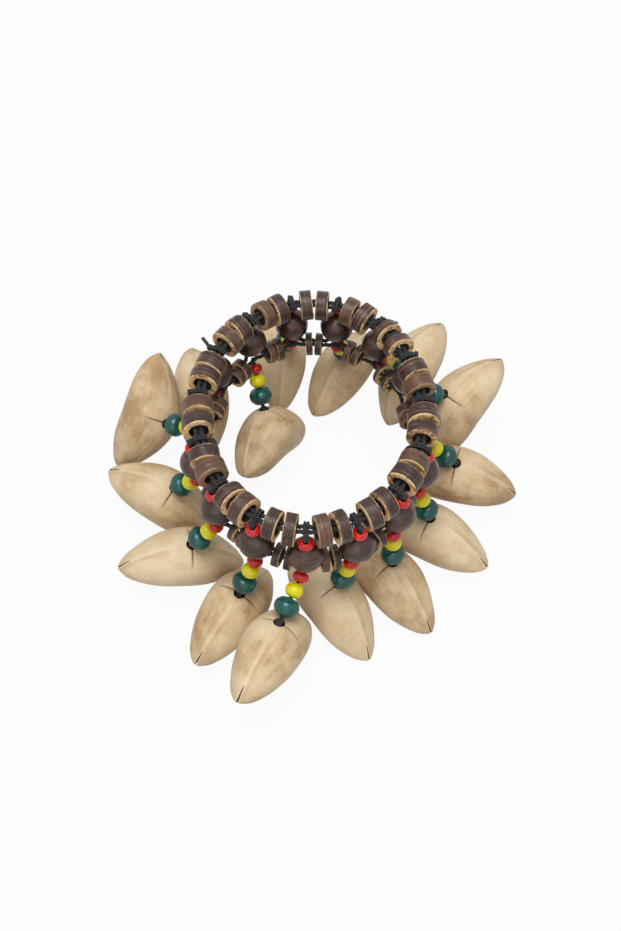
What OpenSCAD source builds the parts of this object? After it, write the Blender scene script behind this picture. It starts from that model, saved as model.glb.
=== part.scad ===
// Nutshell shaker bracelet: an elastic wrist band of shell rings and brown beads
// with fifteen drops, each a short bead string that ends in a hollow nutshell.
// Millimetres. The origin lies on the table under the middle of the wrist opening,
// +Z is up and -Y is the front.

/* [Band] */
// Half-width of the upper cord's loop, side to side
band_half_x = 30; // [28:0.5:36]
// Half-depth of the upper cord's loop, front to back
band_half_y = 37.5; // [35:0.5:42]
// Height of the upper cord above the table
cord_height = 50.6; // [50.4:0.2:60]
// Diameter of one elastic strand
strand_d = 1.3; // [1:0.1:1.4]
// Distance between the middles of the two strands inside the rings
strand_pitch = 1.5; // [1.5:0.1:1.7]
// Thickness of the knots that tie the elastic cords
tie_knot_t = 1.2; // [1:0.1:1.4]

/* [Upper shell rings] */
// Outer diameter of a ring
ring_d = 9.2; // [8:0.1:9.6]
// Diameter of a ring's hole
ring_hole_d = 5.2; // [5.2:0.1:5.8]
// Thickness of a ring at the front and back, where the stations lie closest
ring_t = 3.5; // [2.5:0.1:3.5]
// Gap between the two rings of a pair, at their cord and on a straight run
ring_gap = 0.4; // [0.3:0.1:0.5]
// How far a ring hangs below its cord
ring_sag = 0.8; // [0.7:0.1:1]
// Largest tilt of a ring on its cord
ring_tilt = 5; // [0:1:5]
// Radius that eases a ring's outer edges
ring_edge_r = 0.7; // [0.3:0.1:1]

/* [Lower shell rings] */
// Outer diameter of a lower ring
low_ring_d = 7.4; // [6.5:0.1:7.6]
// Diameter of a lower ring's hole
low_ring_hole_d = 4.2; // [4.2:0.1:4.8]
// Thickness of a lower ring at the front and back
low_ring_t = 2.2; // [1.5:0.1:2.2]
// How far the lower rings lie inside the upper cord's loop
low_ring_inset = 0.8; // [0.5:0.1:1.2]
// How far a lower ring hangs below its cord
low_ring_sag = 0.8; // [0.8:0.1:1]

/* [Stations] */
// Outward tilt of the cord that carries a station's beads
column_tilt = 7; // [4:1:9]
// Distance of the brown beads' middles outside the upper cord's loop
column_out = 1.4; // [1:0.1:2]
// Depth of the brown beads' middles below the upper cord
brown_drop = 10; // [10:0.1:10.6]
// Diameter of a brown bead
brown_d = 10.4; // [9.5:0.1:10.6]
// Diameter of the red bead on a brown bead
top_bead_d = 4.2; // [3.8:0.1:4.4]
// Height of the red bead on a brown bead
top_bead_h = 3.2; // [3:0.1:3.2]
// Diameter of the black cord of the stations and drops
cord_d = 1.1; // [0.9:0.1:1.2]
// Clearance of a bead's bore round its cord, on the diameter
bore_clearance = 0.4; // [0.3:0.1:0.6]
// Diameter of the knot on a red bead
top_knot_d = 2.2; // [1.8:0.1:2.2]
// Thickness of the cord where it is pulled tight round the elastic cord
wrap_d = 0.8; // [0.6:0.1:0.8]
// Length of a cut cord tail, from the middle of its knot
tail_l = 4.4; // [3:0.2:5]

/* [Drops] */
// Distance from the drop's pivot to its first bead
bead_start = 1.8; // [1.8:0.1:2.4]
// Diameter of the red drop bead
red_d = 4.5; // [4:0.1:4.8]
// Height of the red drop bead
red_h = 3.2; // [2.8:0.1:3.6]
// Diameter of the yellow drop bead
yellow_d = 5; // [4.5:0.1:5.4]
// Height of the yellow drop bead
yellow_h = 4.2; // [3.8:0.1:4.6]
// Diameter of the green drop bead
green_d = 7; // [6.4:0.1:7.2]
// Height of the green drop bead
green_h = 5.2; // [4.8:0.1:5.6]
// Gap between two beads of a drop
bead_gap = 0.1; // [0.05:0.05:0.3]
// Gap between the green bead and the crown of the nutshell
crown_gap = 1.3; // [1.2:0.1:2]

/* [Nutshells] */
// Length of a nutshell from tip to tip
nut_l = 37; // [34:0.5:37]
// Height of a nutshell from base to crown
nut_h = 17.6; // [16:0.2:17.6]
// Thickness of a nutshell across its seam
nut_w = 17.2; // [15:0.2:17.2]
// Wall of a nutshell
nut_wall = 1.2; // [1:0.1:1.6]
// Diameter of the cord hole in the crown
nut_hole_d = 3.2; // [3.2:0.1:3.6]
// Width of the split at the outer tip
split_w = 0.9; // [0.6:0.1:1.2]
// Length of the split at the outer tip
split_l = 5.5; // [4:0.5:7]
// Diameter of the stop knot inside a nutshell
stop_knot_d = 3.8; // [3.7:0.1:4]
// Distance of the stop knot's middle below the crown hole
stop_knot_drop = 5.2; // [5:0.1:6]

/* [Hidden] */
$fn = 48;

STATIONS = 15;
STATION_PITCH = 360 / STATIONS;
FIRST_STATION = -10;
// The knots of the elastic cords lie between this station and the next
TIE_STATION = 2;

// How each drop lies at rest, going round clockwise from the back: the outward tilt and the
// sideways lean of its string, then the spin of its nutshell on the string and its nose-down rock
DROPS = [
    [44, 2, -12, 32],
    [34, -4, -15, 30],
    [52, 0, 12, 24],
    [60, 3, 20, 22],
    [44, -5, -22, 40],
    [19, 0, -16, 14],
    [6, -4, -14, 6],
    [-6, -12, 8, -6],
    [62, -23, -12, 42],
    [25, -9, 4, 18],
    [30, -19, -16, 18],
    [33, -23, -30, 15],
    [58, -24, -68, -10],
    [35, -20, -48, 15],
    [-33, 12, -60, 0]
];

// Clearance of the tie knots and the wraps round the strands
strand_clear = 0.1;
// How the lower strands part at a station: clearance and spread round the station's cord, and how
// closely they keep to the station
station_clear = 0.35;
station_spread = cord_d / 2 + strand_d / 2 + station_clear;
STATION_GRIP = 4;
// The red bead lies on the brown bead and the knot on the red bead
seat_gap = 0.15;
top_bead_at = brown_d / 2 + seat_gap + top_bead_h / 2;
top_knot_at = top_bead_at + top_bead_h / 2 + seat_gap + top_knot_d / 2;

// Stations whose knot shows a cut tail, with the tail's heading from outwards and its slope
TAILS = [[2, -45, 90], [13, -30, 65], [14, 50, 95]];

// The pivot of a drop lies between the lower strands, under the brown bead
pivot_below_brown = 1.9;
pivot_at = brown_d / 2 + pivot_below_brown;
pivot_out = column_out - pivot_at * sin(column_tilt);
pivot_drop = brown_drop + pivot_at * cos(column_tilt);
pivot_gap = 0.3;
// The lower strands lie a little above the pivots, so that a drop swings out under them
strand_rise = 1;
lower_cord_z = cord_height - pivot_drop + strand_rise;
lower_shift = pivot_out + strand_rise * tan(column_tilt);

// Running gap round the knot in the crown hole
hole_gap = 0.3;

// Places along a drop, measured from its pivot
red_at = bead_start + red_h / 2;
yellow_at = red_at + red_h / 2 + bead_gap + yellow_h / 2;
green_at = yellow_at + yellow_h / 2 + bead_gap + green_h / 2;
nut_at = green_at + green_h / 2 + crown_gap + nut_wall / 2;

// Outline of a nutshell: fall of its top edge and rise of its toes as shares of its height, height
// and half-length of its arch, and depth of the crease over its middle
FALL_SHARE = 0.75;
TOE_SHARE = 0.16;
nut_fall = nut_h * FALL_SHARE;
nut_toe = nut_h * TOE_SHARE;
nut_arch = 0.6;
nut_arch_end = 0.5;
nut_crease = 0.4;
// How full its top edge and its plan are: higher is fuller
TOP_FULLNESS = 1.9;
PLAN_FULLNESS = 2.1;
PLAN_TAPER = 0.7;
// How many walls the hollow ends short of a tip
TIP_WALLS = 2.2;
SECTION_STEP = 15;
SECTION_SIDES = 14;

STRAND_STEPS = 6;
STRAND_SIDES = 8;

function two_digits(i) = str(i < 10 ? "0" : "", i);
function numbered(name) = [for (i = [1:STATIONS]) str(name, "_", two_digits(i))];

BAND_NODES = [
    "upper_elastic_inner", "upper_elastic_outer", "lower_elastic_inner", "lower_elastic_outer",
    "upper_shell_rings", "lower_shell_rings", "brown_beads", "top_red_beads", "station_cords",
    "upper_tie_knot", "lower_tie_knot"
];

// The cord loop: angles run clockwise from the back, seen from above
function station_angle(i) = FIRST_STATION + STATION_PITCH * i;
function loop_point(angle) = [band_half_x * sin(angle), band_half_y * cos(angle), 0];
function outward(angle) =
    let (n = [band_half_y * sin(angle), band_half_x * cos(angle), 0])
    n / norm(n);
function heading(angle) = atan2(outward(angle)[1], outward(angle)[0]);
function loop_speed(angle) = norm([band_half_x * cos(angle), band_half_y * sin(angle)]) * PI / 180;
function loop_bend(angle) = band_half_x * band_half_y / pow(loop_speed(angle) * 180 / PI, 3);
function beside_loop(angle, out, z) = loop_point(angle) + out * outward(angle) + [0, 0, z];

// 1 at a station and 0 in the rings between two stations
function nearness(angle) = pow(0.5 + 0.5 * cos((angle - FIRST_STATION) * STATIONS), STATION_GRIP);

module at_loop(angle, out, z) {
    translate(beside_loop(angle, out, z)) rotate([0, 0, heading(angle)]) children();
}

module at_column(i, along) {
    at_loop(station_angle(i), column_out, cord_height - brown_drop)
        rotate([0, column_tilt, 0]) translate([0, 0, along]) children();
}

module at_pivot(i) {
    at_loop(station_angle(i), pivot_out, cord_height - pivot_drop) children();
}

// A string runs down its own -Z
module along_string(i, along) {
    at_pivot(i) rotate([DROPS[i][1], -DROPS[i][0], 0]) translate([0, 0, -along]) children();
}

module at_nut(i) {
    along_string(i, nut_at) rotate([0, DROPS[i][3], DROPS[i][2]]) children();
}

// One closed tube along a ring of points, each with its own frame across the loop
module strand(offsets) {
    steps = STATIONS * STRAND_STEPS;
    points = [
        for (k = [0:steps - 1])
            let (angle = FIRST_STATION + 360 * k / steps, place = offsets[k])
            for (j = [0:STRAND_SIDES - 1])
                let (turn = 360 * (j + 0.5) / STRAND_SIDES)
                beside_loop(
                    angle,
                    place[0] + strand_d / 2 * cos(turn),
                    place[1] + strand_d / 2 * sin(turn)
                )
    ];
    function index(k, j) = (k % steps) * STRAND_SIDES + j % STRAND_SIDES;
    faces = [
        for (k = [0:steps - 1], j = [0:STRAND_SIDES - 1])
            each [
                [index(k, j), index(k + 1, j + 1), index(k, j + 1)],
                [index(k, j), index(k + 1, j), index(k + 1, j + 1)]
            ]
    ];
    polyhedron(points, faces);
}

function loop_angles() = [
    for (k = [0:STATIONS * STRAND_STEPS - 1]) FIRST_STATION + 360 * k / (STATIONS * STRAND_STEPS)
];

function upper_offsets(side) = [for (angle = loop_angles()) [side * strand_pitch / 2, cord_height]];

function lower_offsets(side) = [
    for (angle = loop_angles())
        let (near = nearness(angle))
        [
            (lower_shift + low_ring_inset) * near - low_ring_inset
                + side * (strand_pitch / 2 + (station_spread - strand_pitch / 2) * near),
            lower_cord_z
        ]
];

module upper_elastic_inner() { color("#1c1e22") strand(upper_offsets(-1)); }
module upper_elastic_outer() { color("#1c1e22") strand(upper_offsets(1)); }
module lower_elastic_inner() { color("#1c1e22") strand(lower_offsets(-1)); }
module lower_elastic_outer() { color("#1c1e22") strand(lower_offsets(1)); }

// A shell ring with eased outer edges, its axis along Y
module shell_ring(d, hole_d, t) {
    rotate([90, 0, 0]) difference() {
        rotate_extrude() intersection() {
            union() {
                translate([0, -t / 2]) square([d / 2 - ring_edge_r, t]);
                translate([0, ring_edge_r - t / 2]) square([d / 2, t - 2 * ring_edge_r]);
                for (side = [-1, 1])
                    translate([d / 2 - ring_edge_r, side * (t / 2 - ring_edge_r)]) circle(ring_edge_r);
            }
            translate([0, -t]) square([d, 2 * t]);
        }
        cylinder(d = hole_d, h = 2 * t, center = true);
    }
}

// Two rings between each two stations, thicker where the stations lie further apart and thinner
// beside the tie knot
module ring_pairs(d, hole_d, least_t, out, z, sag) {
    for (i = [0:STATIONS - 1], side = [-1, 1]) {
        middle = station_angle(i) + STATION_PITCH / 2;
        knot_room = i == TIE_STATION ? tie_knot_t + ring_gap : 0;
        t = least_t * loop_speed(middle) / loop_speed(0) - knot_room / 2;
        fan = d / 2 * t * loop_bend(middle);
        gap = fan + ring_gap + knot_room;
        angle = middle + side * (t + gap) / 2 / loop_speed(middle);
        sway = ring_tilt * sin(137 * i);
        at_loop(angle, out, z - sag) rotate([sway, 0, 0]) shell_ring(d, hole_d, t);
    }
}

module upper_shell_rings() {
    color("#46302a") ring_pairs(ring_d, ring_hole_d, ring_t, 0, cord_height, ring_sag);
}

module lower_shell_rings() {
    color("#46302a")
        ring_pairs(low_ring_d, low_ring_hole_d, low_ring_t, -low_ring_inset, lower_cord_z, low_ring_sag);
}

// A round bead with its bore along Z
module bead(d, h) {
    edge_r = min(d, h) / 2;
    difference() {
        rotate_extrude() intersection() {
            union() {
                translate([d / 2 - edge_r, 0]) circle(edge_r);
                translate([0, -h / 2]) square([max(d / 2 - edge_r, cord_d / 2), h]);
            }
            translate([0, -h]) square([d, 2 * h]);
        }
        cylinder(d = cord_d + bore_clearance, h = 2 * h, center = true);
    }
}

module brown_beads() {
    color("#4b342d") for (i = [0:STATIONS - 1]) at_column(i, 0) bead(brown_d, brown_d);
}

module top_red_beads() {
    color("#d7322d") for (i = [0:STATIONS - 1]) at_column(i, top_bead_at) bead(top_bead_d, top_bead_h);
}

// The cord of a station, up through its brown and red bead to its knot and the wrap that holds the
// elastic cord
module station_cords() {
    foot = -(pivot_at - cord_d / 2 - pivot_gap);
    color("#191c21") for (i = [0:STATIONS - 1]) {
        at_column(i, foot) cylinder(d = cord_d, h = top_knot_at - foot);
        at_column(i, top_knot_at) {
            sphere(d = top_knot_d);
            for (tail = TAILS) if (tail[0] == i) cut_tail(tail[1], tail[2]);
        }
        at_loop(station_angle(i), 0, cord_height) strand_wrap();
    }
}

// One turn of cord round the two upper strands
module strand_wrap() {
    middle_r = (strand_d + wrap_d) / 2 + strand_clear;
    rotate([90, 0, 0]) {
        for (side = [-1, 1]) {
            translate([side * strand_pitch / 2, 0, 0]) rotate([0, 0, -side * 90])
                rotate_extrude(angle = 180) translate([middle_r, 0]) circle(d = wrap_d);
            translate([0, side * middle_r, 0])
                rotate([0, 90, 0]) cylinder(d = wrap_d, h = strand_pitch, center = true);
        }
    }
}

// The cut end of a cord, from the middle of its knot
module cut_tail(azimuth, slope) {
    rotate([0, slope, azimuth]) {
        cylinder(d = cord_d, h = tail_l);
        translate([0, 0, tail_l]) sphere(d = cord_d);
    }
}

// The knot that ties a cord into a loop, wound round both strands between two rings
module tie_knot(out, z) {
    middle_r = (strand_pitch + strand_d + tie_knot_t) / 2 + strand_clear;
    at_loop(station_angle(TIE_STATION) + STATION_PITCH / 2, out, z)
        rotate([90, 0, 0]) rotate_extrude() translate([middle_r, 0]) circle(d = tie_knot_t);
}

module upper_tie_knot() { color("#191c21") tie_knot(0, cord_height); }
module lower_tie_knot() { color("#191c21") tie_knot(-low_ring_inset, lower_cord_z); }

// The cord of a drop, from its pivot through the small knot in the crown hole, on which the
// nutshell rocks, to the stop knot inside
module drop_cord(i) {
    length = nut_at + stop_knot_drop;
    color("#191c21") along_string(i, 0) {
        sphere(d = cord_d);
        translate([0, 0, -length]) cylinder(d = cord_d, h = length);
        translate([0, 0, -nut_at]) sphere(d = nut_hole_d - 2 * hole_gap);
        translate([0, 0, -length]) sphere(d = stop_knot_d);
    }
}

module drop_beads(i) {
    color("#d7322d") along_string(i, red_at) bead(red_d, red_h);
    color("#e1dc1e") along_string(i, yellow_at) bead(yellow_d, yellow_h);
    color("#14504b") along_string(i, green_at) bead(green_d, green_h);
}

// Height of a nutshell's top edge and base at a share s of its half-length
function nut_top(s) = -nut_fall * pow(abs(s), TOP_FULLNESS);
function nut_base(s) =
    abs(s) < nut_arch_end
        ? -nut_h + nut_arch * pow(1 - pow(s / nut_arch_end, 2), 2)
        : -nut_h + nut_toe * pow((abs(s) - nut_arch_end) / (1 - nut_arch_end), 2);
function nut_half_w(s) = nut_w / 2 * pow(1 - pow(abs(s), PLAN_FULLNESS), PLAN_TAPER);

// One point of the shell's outer surface, or of its inner surface at a given wall
function nut_point(share, turn, wall) =
    let (
        reach = nut_l / 2 - TIP_WALLS * wall,
        s = share * reach / (nut_l / 2),
        tip = abs(share) == 1,
        crease = wall == 0 && share == 0 ? nut_crease : 0,
        top = nut_top(s) - wall - crease,
        base = nut_base(s) + wall,
        half_w = tip ? 0 : nut_half_w(s) - wall - crease,
        half_h = tip ? 0 : (top - base) / 2
    )
    [share * reach, half_w * cos(turn), (top + base) / 2 + half_h * sin(turn)];

module nut_body(wall) {
    shares = [for (a = [-90 + SECTION_STEP:SECTION_STEP:90 - SECTION_STEP]) sin(a)];
    sections = len(shares);
    points = concat(
        [nut_point(-1, 0, wall)],
        [
            for (share = shares, j = [0:SECTION_SIDES - 1])
                nut_point(share, 90 + 360 * j / SECTION_SIDES, wall)
        ],
        [nut_point(1, 0, wall)]
    );
    last = len(points) - 1;
    function index(k, j) = 1 + k * SECTION_SIDES + j % SECTION_SIDES;
    faces = concat(
        [for (j = [0:SECTION_SIDES - 1]) [0, index(0, j), index(0, j + 1)]],
        [
            for (k = [0:sections - 2], j = [0:SECTION_SIDES - 1])
                each [
                    [index(k, j), index(k + 1, j), index(k + 1, j + 1)],
                    [index(k, j), index(k + 1, j + 1), index(k, j + 1)]
                ]
        ],
        [for (j = [0:SECTION_SIDES - 1]) [last, index(sections - 1, j + 1), index(sections - 1, j)]]
    );
    translate([0, 0, nut_wall / 2]) polyhedron(points, faces);
}

// A hollow shell with the cord hole in its crown and the split at its outer tip
module nutshell(i) {
    color("#cdaf87") at_nut(i) difference() {
        nut_body(0);
        nut_body(nut_wall);
        cylinder(d = nut_hole_d, h = 4 * nut_wall, center = true);
        translate([nut_l / 2 - split_l, -split_w / 2, -nut_h]) cube([split_l + 1, split_w, nut_h]);
    }
}

upper_elastic_inner();
upper_elastic_outer();
lower_elastic_inner();
lower_elastic_outer();
upper_shell_rings();
lower_shell_rings();
brown_beads();
top_red_beads();
station_cords();
upper_tie_knot();
lower_tie_knot();
for (i = [0:STATIONS - 1]) {
    drop_cord(i);
    drop_beads(i);
    nutshell(i);
}
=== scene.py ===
"""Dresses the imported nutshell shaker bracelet: twisted cords, shell rings, beads and nutshells."""

import logging
import math
from dataclasses import dataclass, field
from enum import Enum
from typing import Any, Iterable, Sequence

import bpy
import numpy as np
from mathutils import Euler, Matrix, Vector, noise


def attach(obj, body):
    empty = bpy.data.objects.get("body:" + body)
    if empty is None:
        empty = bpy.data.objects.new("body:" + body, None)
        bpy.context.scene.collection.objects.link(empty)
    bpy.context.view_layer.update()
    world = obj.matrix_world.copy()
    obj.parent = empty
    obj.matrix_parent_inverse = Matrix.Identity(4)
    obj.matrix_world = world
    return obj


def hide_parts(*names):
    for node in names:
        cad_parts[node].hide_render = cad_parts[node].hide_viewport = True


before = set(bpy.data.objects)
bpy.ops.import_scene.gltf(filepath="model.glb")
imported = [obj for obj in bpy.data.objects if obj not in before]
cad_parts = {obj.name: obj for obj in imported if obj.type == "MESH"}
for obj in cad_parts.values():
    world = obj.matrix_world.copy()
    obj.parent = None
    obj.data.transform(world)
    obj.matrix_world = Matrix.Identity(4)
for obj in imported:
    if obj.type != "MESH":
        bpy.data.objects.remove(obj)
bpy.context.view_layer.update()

MM = 0.001
STATIONS = 15
BAND_BODY = "band"
CORD_LAY = 3.2  # millimetres for one full twist of the thin cords
log = logging.getLogger("bracelet")

Material = bpy.types.Material
Mesh = bpy.types.Mesh
Object = bpy.types.Object
Socket = bpy.types.NodeSocket
Colour = tuple[float, float, float, float]
Span = tuple[float, float]
Triple = tuple[float, float, float]
Surface = tuple[np.ndarray, list[list[int]]]


def tint(red: int, green: int, blue: int) -> Colour:
    """Turns an sRGB shade into Blender's linear colour.

    Args:
        red: Red from 0 to 255.
        green: Green from 0 to 255.
        blue: Blue from 0 to 255.

    Returns:
        The linear colour, opaque.
    """

    def linear(value: int) -> float:
        """One channel of the sRGB curve."""
        share = value / 255
        return share / 12.92 if share <= 0.04045 else ((share + 0.055) / 1.055) ** 2.4

    return linear(red), linear(green), linear(blue), 1.0


class Scatter(Enum):
    """Steps of the even scatters, one for each use."""

    TONE = 0.618034
    THICKNESS = 0.414214
    WIDTH = 0.732051
    SPIN = 0.236068


def spread(index: int, scatter: Scatter, low: float, high: float) -> float:
    """Gives an even, repeatable scatter of values.

    Args:
        index: Which value of the row.
        scatter: The scatter, whose step sets the order.
        low: Lowest value.
        high: Highest value.

    Returns:
        A value between low and high.
    """
    return low + (high - low) * ((index + 1) * scatter.value % 1.0)


def round_steps(count: int) -> list[float]:
    """Evenly spaced angles of a full circle, in radians."""
    return [2 * math.pi * k / count for k in range(count)]


def eased(count: int) -> list[float]:
    """Places between -1 and 1 without the two ends, closer together towards them."""
    return [math.sin(math.pi * (k / count - 0.5)) for k in range(1, count)]


def rise(value: Any, start: float, length: float) -> Any:
    """0 up to a start, and from there evenly up to 1 over a length."""
    return np.clip((value - start) / length, 0, 1)


class Slot(Enum):
    """Material slots of the record."""

    NUTSHELL = "nutshell"
    COCONUT = "coconut_shell"
    BROWN_WOOD = "brown_wood"
    RED_BEAD = "red_bead"
    DROP_BEAD = "drop_bead"
    CORD = "black_cord"
    ELASTIC = "elastic_cord"


@dataclass(frozen=True)
class Cloud:
    """A cloudy pattern."""

    scale: float
    detail: float = 3.0
    rough: float = 0.5


class NodeTree:
    """A node tree, with short calls for its nodes."""

    def __init__(self, tree: bpy.types.NodeTree) -> None:
        """Takes up an existing tree."""
        self.nodes = tree.nodes
        self.links = tree.links

    def feed(self, socket: Socket, value: Any) -> None:
        """Links a socket to another, or sets its constant.

        Args:
            socket: The input.
            value: A socket or a constant.
        """
        if isinstance(value, Socket):
            self.links.new(value, socket)
        else:
            socket.default_value = value

    def add(self, kind: str, inputs: dict[Any, Any] | None = None, **settings: Any) -> bpy.types.Node:
        """Adds a node.

        Args:
            kind: Blender's name of the node.
            inputs: Values or links by input name or number.
            **settings: Properties of the node.

        Returns:
            The new node.
        """
        node = self.nodes.new(kind)
        for key, value in settings.items():
            setattr(node, key, value)
        for key, value in (inputs or {}).items():
            self.feed(node.inputs[key], value)
        return node

    def out(self, kind: str, inputs: dict[Any, Any] | None = None, **settings: Any) -> Socket:
        """Adds a node and gives its first output."""
        return self.add(kind, inputs, **settings).outputs[0]

    def calc(self, operation: str, a: Any, b: Any = 0.0, c: Any = 0.0) -> Socket:
        """One step of arithmetic."""
        return self.out("ShaderNodeMath", {0: a, 1: b, 2: c}, operation=operation)

    def times(self, a: Any, b: Any) -> Socket:
        """A product."""
        return self.calc("MULTIPLY", a, b)

    def between(self, value: Any, span: Span) -> Socket:
        """A number from 0 to 1, laid over a span."""
        return self.out("ShaderNodeMapRange", {"Value": value, "To Min": span[0], "To Max": span[1]})

    def seen(self) -> Socket:
        """1 for rays that show the background: the camera's, mirrored and refracted ones.

        Returns:
            1 or 0.
        """
        path = self.add("ShaderNodeLightPath")
        total = path.outputs["Is Camera Ray"]
        for name in ("Is Glossy Ray", "Is Transmission Ray"):
            total = self.calc("MAXIMUM", total, path.outputs[name])
        return total


class ShaderTree(NodeTree):
    """A material's node tree, with short calls for what the finishes use."""

    def __init__(self, name: str) -> None:
        """Starts a material with its Principled surface.

        Args:
            name: The material's name.
        """
        self.material = bpy.data.materials.new(name)
        self.material.use_nodes = True
        super().__init__(self.material.node_tree)
        self.surface = self.nodes["Principled BSDF"]

    def value(self, attribute: str) -> Socket:
        """A number that the mesh carries."""
        return self.add("ShaderNodeAttribute", attribute_name=attribute).outputs["Fac"]

    def place(self) -> Socket:
        """Object coordinates."""
        return self.add("ShaderNodeTexCoord").outputs["Object"]

    def stretched(self, numbers: Sequence[Any], factors: Triple) -> Socket:
        """A vector from three numbers, each times its factor."""
        parts = [self.times(number, factor) for number, factor in zip(numbers, factors)]
        return self.out("ShaderNodeCombineXYZ", dict(enumerate(parts)))

    def noise(self, place: Any, cloud: Cloud) -> Socket:
        """A cloudy pattern from 0 to 1."""
        inputs = {"Vector": place, "Scale": cloud.scale, "Detail": cloud.detail, "Roughness": cloud.rough}
        return self.add("ShaderNodeTexNoise", inputs).outputs["Fac"]

    def ramp(self, value: Any, stops: Sequence[float], colours: Sequence[Colour]) -> Socket:
        """A colour ramp.

        Args:
            value: What picks the colour.
            stops: Places from 0 to 1.
            colours: The colour at each place.

        Returns:
            The colour.
        """
        node = self.add("ShaderNodeValToRGB", {0: value})
        band = node.color_ramp
        while len(band.elements) < len(stops):
            band.elements.new(1.0)
        for element, position, colour in zip(band.elements, stops, colours):
            element.position = position
            element.color = colour
        return node.outputs["Color"]

    def step(self, value: Any, span: Span) -> Socket:
        """A smooth step from 0 at the span's start to 1 at its end."""
        inputs = {"Value": value, "From Min": span[0], "From Max": span[1]}
        return self.out("ShaderNodeMapRange", inputs, interpolation_type="SMOOTHSTEP")

    def mean(self, a: Any, share: float, b: Any) -> Socket:
        """A weighted mean of two numbers, with the share of the first."""
        return self.calc("ADD", self.times(a, share), self.times(b, 1 - share))

    def mix(self, share: Any, a: Any, b: Any) -> Socket:
        """A mix of two colours."""
        return self.add("ShaderNodeMix", {0: share, 6: a, 7: b}, data_type="RGBA").outputs[2]

    def bump(self, height: Any, depth: float, strength: float = 1.0) -> Socket:
        """A bumped normal, with the depth in metres."""
        inputs = {"Height": height, "Distance": depth, "Strength": strength}
        return self.add("ShaderNodeBump", inputs).outputs["Normal"]

    def dress(self, **inputs: Any) -> Material:
        """Sets the surface's inputs, with spaces written as underscores, and gives the material.

        Args:
            **inputs: Values or links by input name.

        Returns:
            The material.
        """
        for key, value in inputs.items():
            self.feed(self.surface.inputs[key.replace("_", " ")], value)
        return self.material


@dataclass(frozen=True)
class NutshellFinish:
    """Pale mottled shell with fine grain, a light seam with a painted shadow along one side of its ridge, and
    painted shade in the crease.
    """

    pale: Colour = tint(228, 208, 174)
    tan: Colour = tint(210, 184, 146)
    brown: Colour = tint(176, 142, 104)
    seam_line: Colour = tint(236, 218, 186)
    # painted shade: the colour of the crease between the lobes
    crease_shade: Colour = tint(58, 40, 28)
    stops: Triple = (0.33, 0.47, 0.66)
    grain: Cloud = Cloud(1.0, 4.0, 0.6)
    grain_stretch: Triple = (2.4, 70.0, 9.0)
    mottle: Cloud = Cloud(95.0, 4.0, 0.62)
    mottle_share: float = 0.75
    speckle: Cloud = Cloud(900.0, 2.0, 0.6)
    tone_range: float = 0.16
    roughness: Span = (0.46, 0.64)
    relief: float = 0.00022

    def make(self) -> Material:
        """Builds the material.

        Returns:
            The material.
        """
        tree = ShaderTree("pale_nutshell")
        tone = tree.value("tone")
        grain_place = tree.stretched((tree.value("along"), tree.value("lap"), tone), self.grain_stretch)
        grain = tree.noise(grain_place, self.grain)
        mottle = tree.noise(tree.place(), self.mottle)
        speckle = tree.noise(tree.place(), self.speckle)
        lift = tree.calc("MULTIPLY_ADD", tone, self.tone_range, -self.tone_range / 2)
        shade = tree.calc("ADD", tree.mean(mottle, self.mottle_share, grain), lift)
        colour = tree.ramp(shade, self.stops, (self.brown, self.tan, self.pale))
        marks = (
            (tree.step(grain, (0.56, 0.74)), 0.3, self.brown),
            (tree.step(speckle, (0.6, 0.75)), 0.16, self.brown),
            (tree.value("seam"), 0.4, self.seam_line),
            # painted shadow: a dark line along one side of the seam ridge
            (tree.value("edge"), 0.45, self.brown),
            (tree.value("tip"), 0.35, self.brown),
            # painted shade in the crease between the lobes
            (tree.value("crease"), 0.8, self.crease_shade),
        )
        for mask, share, paint in marks:
            colour = tree.mix(tree.times(mask, share), colour, paint)
        rough = tree.between(mottle, self.roughness)
        normal = tree.bump(tree.mean(grain, 0.7, speckle), self.relief, 0.5)
        return tree.dress(Base_Color=colour, Roughness=rough, Normal=normal, Specular_IOR_Level=0.35)


@dataclass(frozen=True)
class HollowFinish:
    """Dark raw inside of a nutshell."""

    dark: Colour = tint(44, 31, 22)
    light: Colour = tint(96, 70, 48)
    stops: Span = (0.3, 0.7)
    cloud: Cloud = Cloud(700.0)
    relief: float = 0.0002

    def make(self) -> Material:
        """Builds the material.

        Returns:
            The material.
        """
        tree = ShaderTree("nutshell_inside")
        cloud = tree.noise(tree.place(), self.cloud)
        colour = tree.ramp(cloud, self.stops, (self.dark, self.light))
        return tree.dress(Base_Color=colour, Roughness=0.85, Normal=tree.bump(cloud, self.relief))


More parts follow.
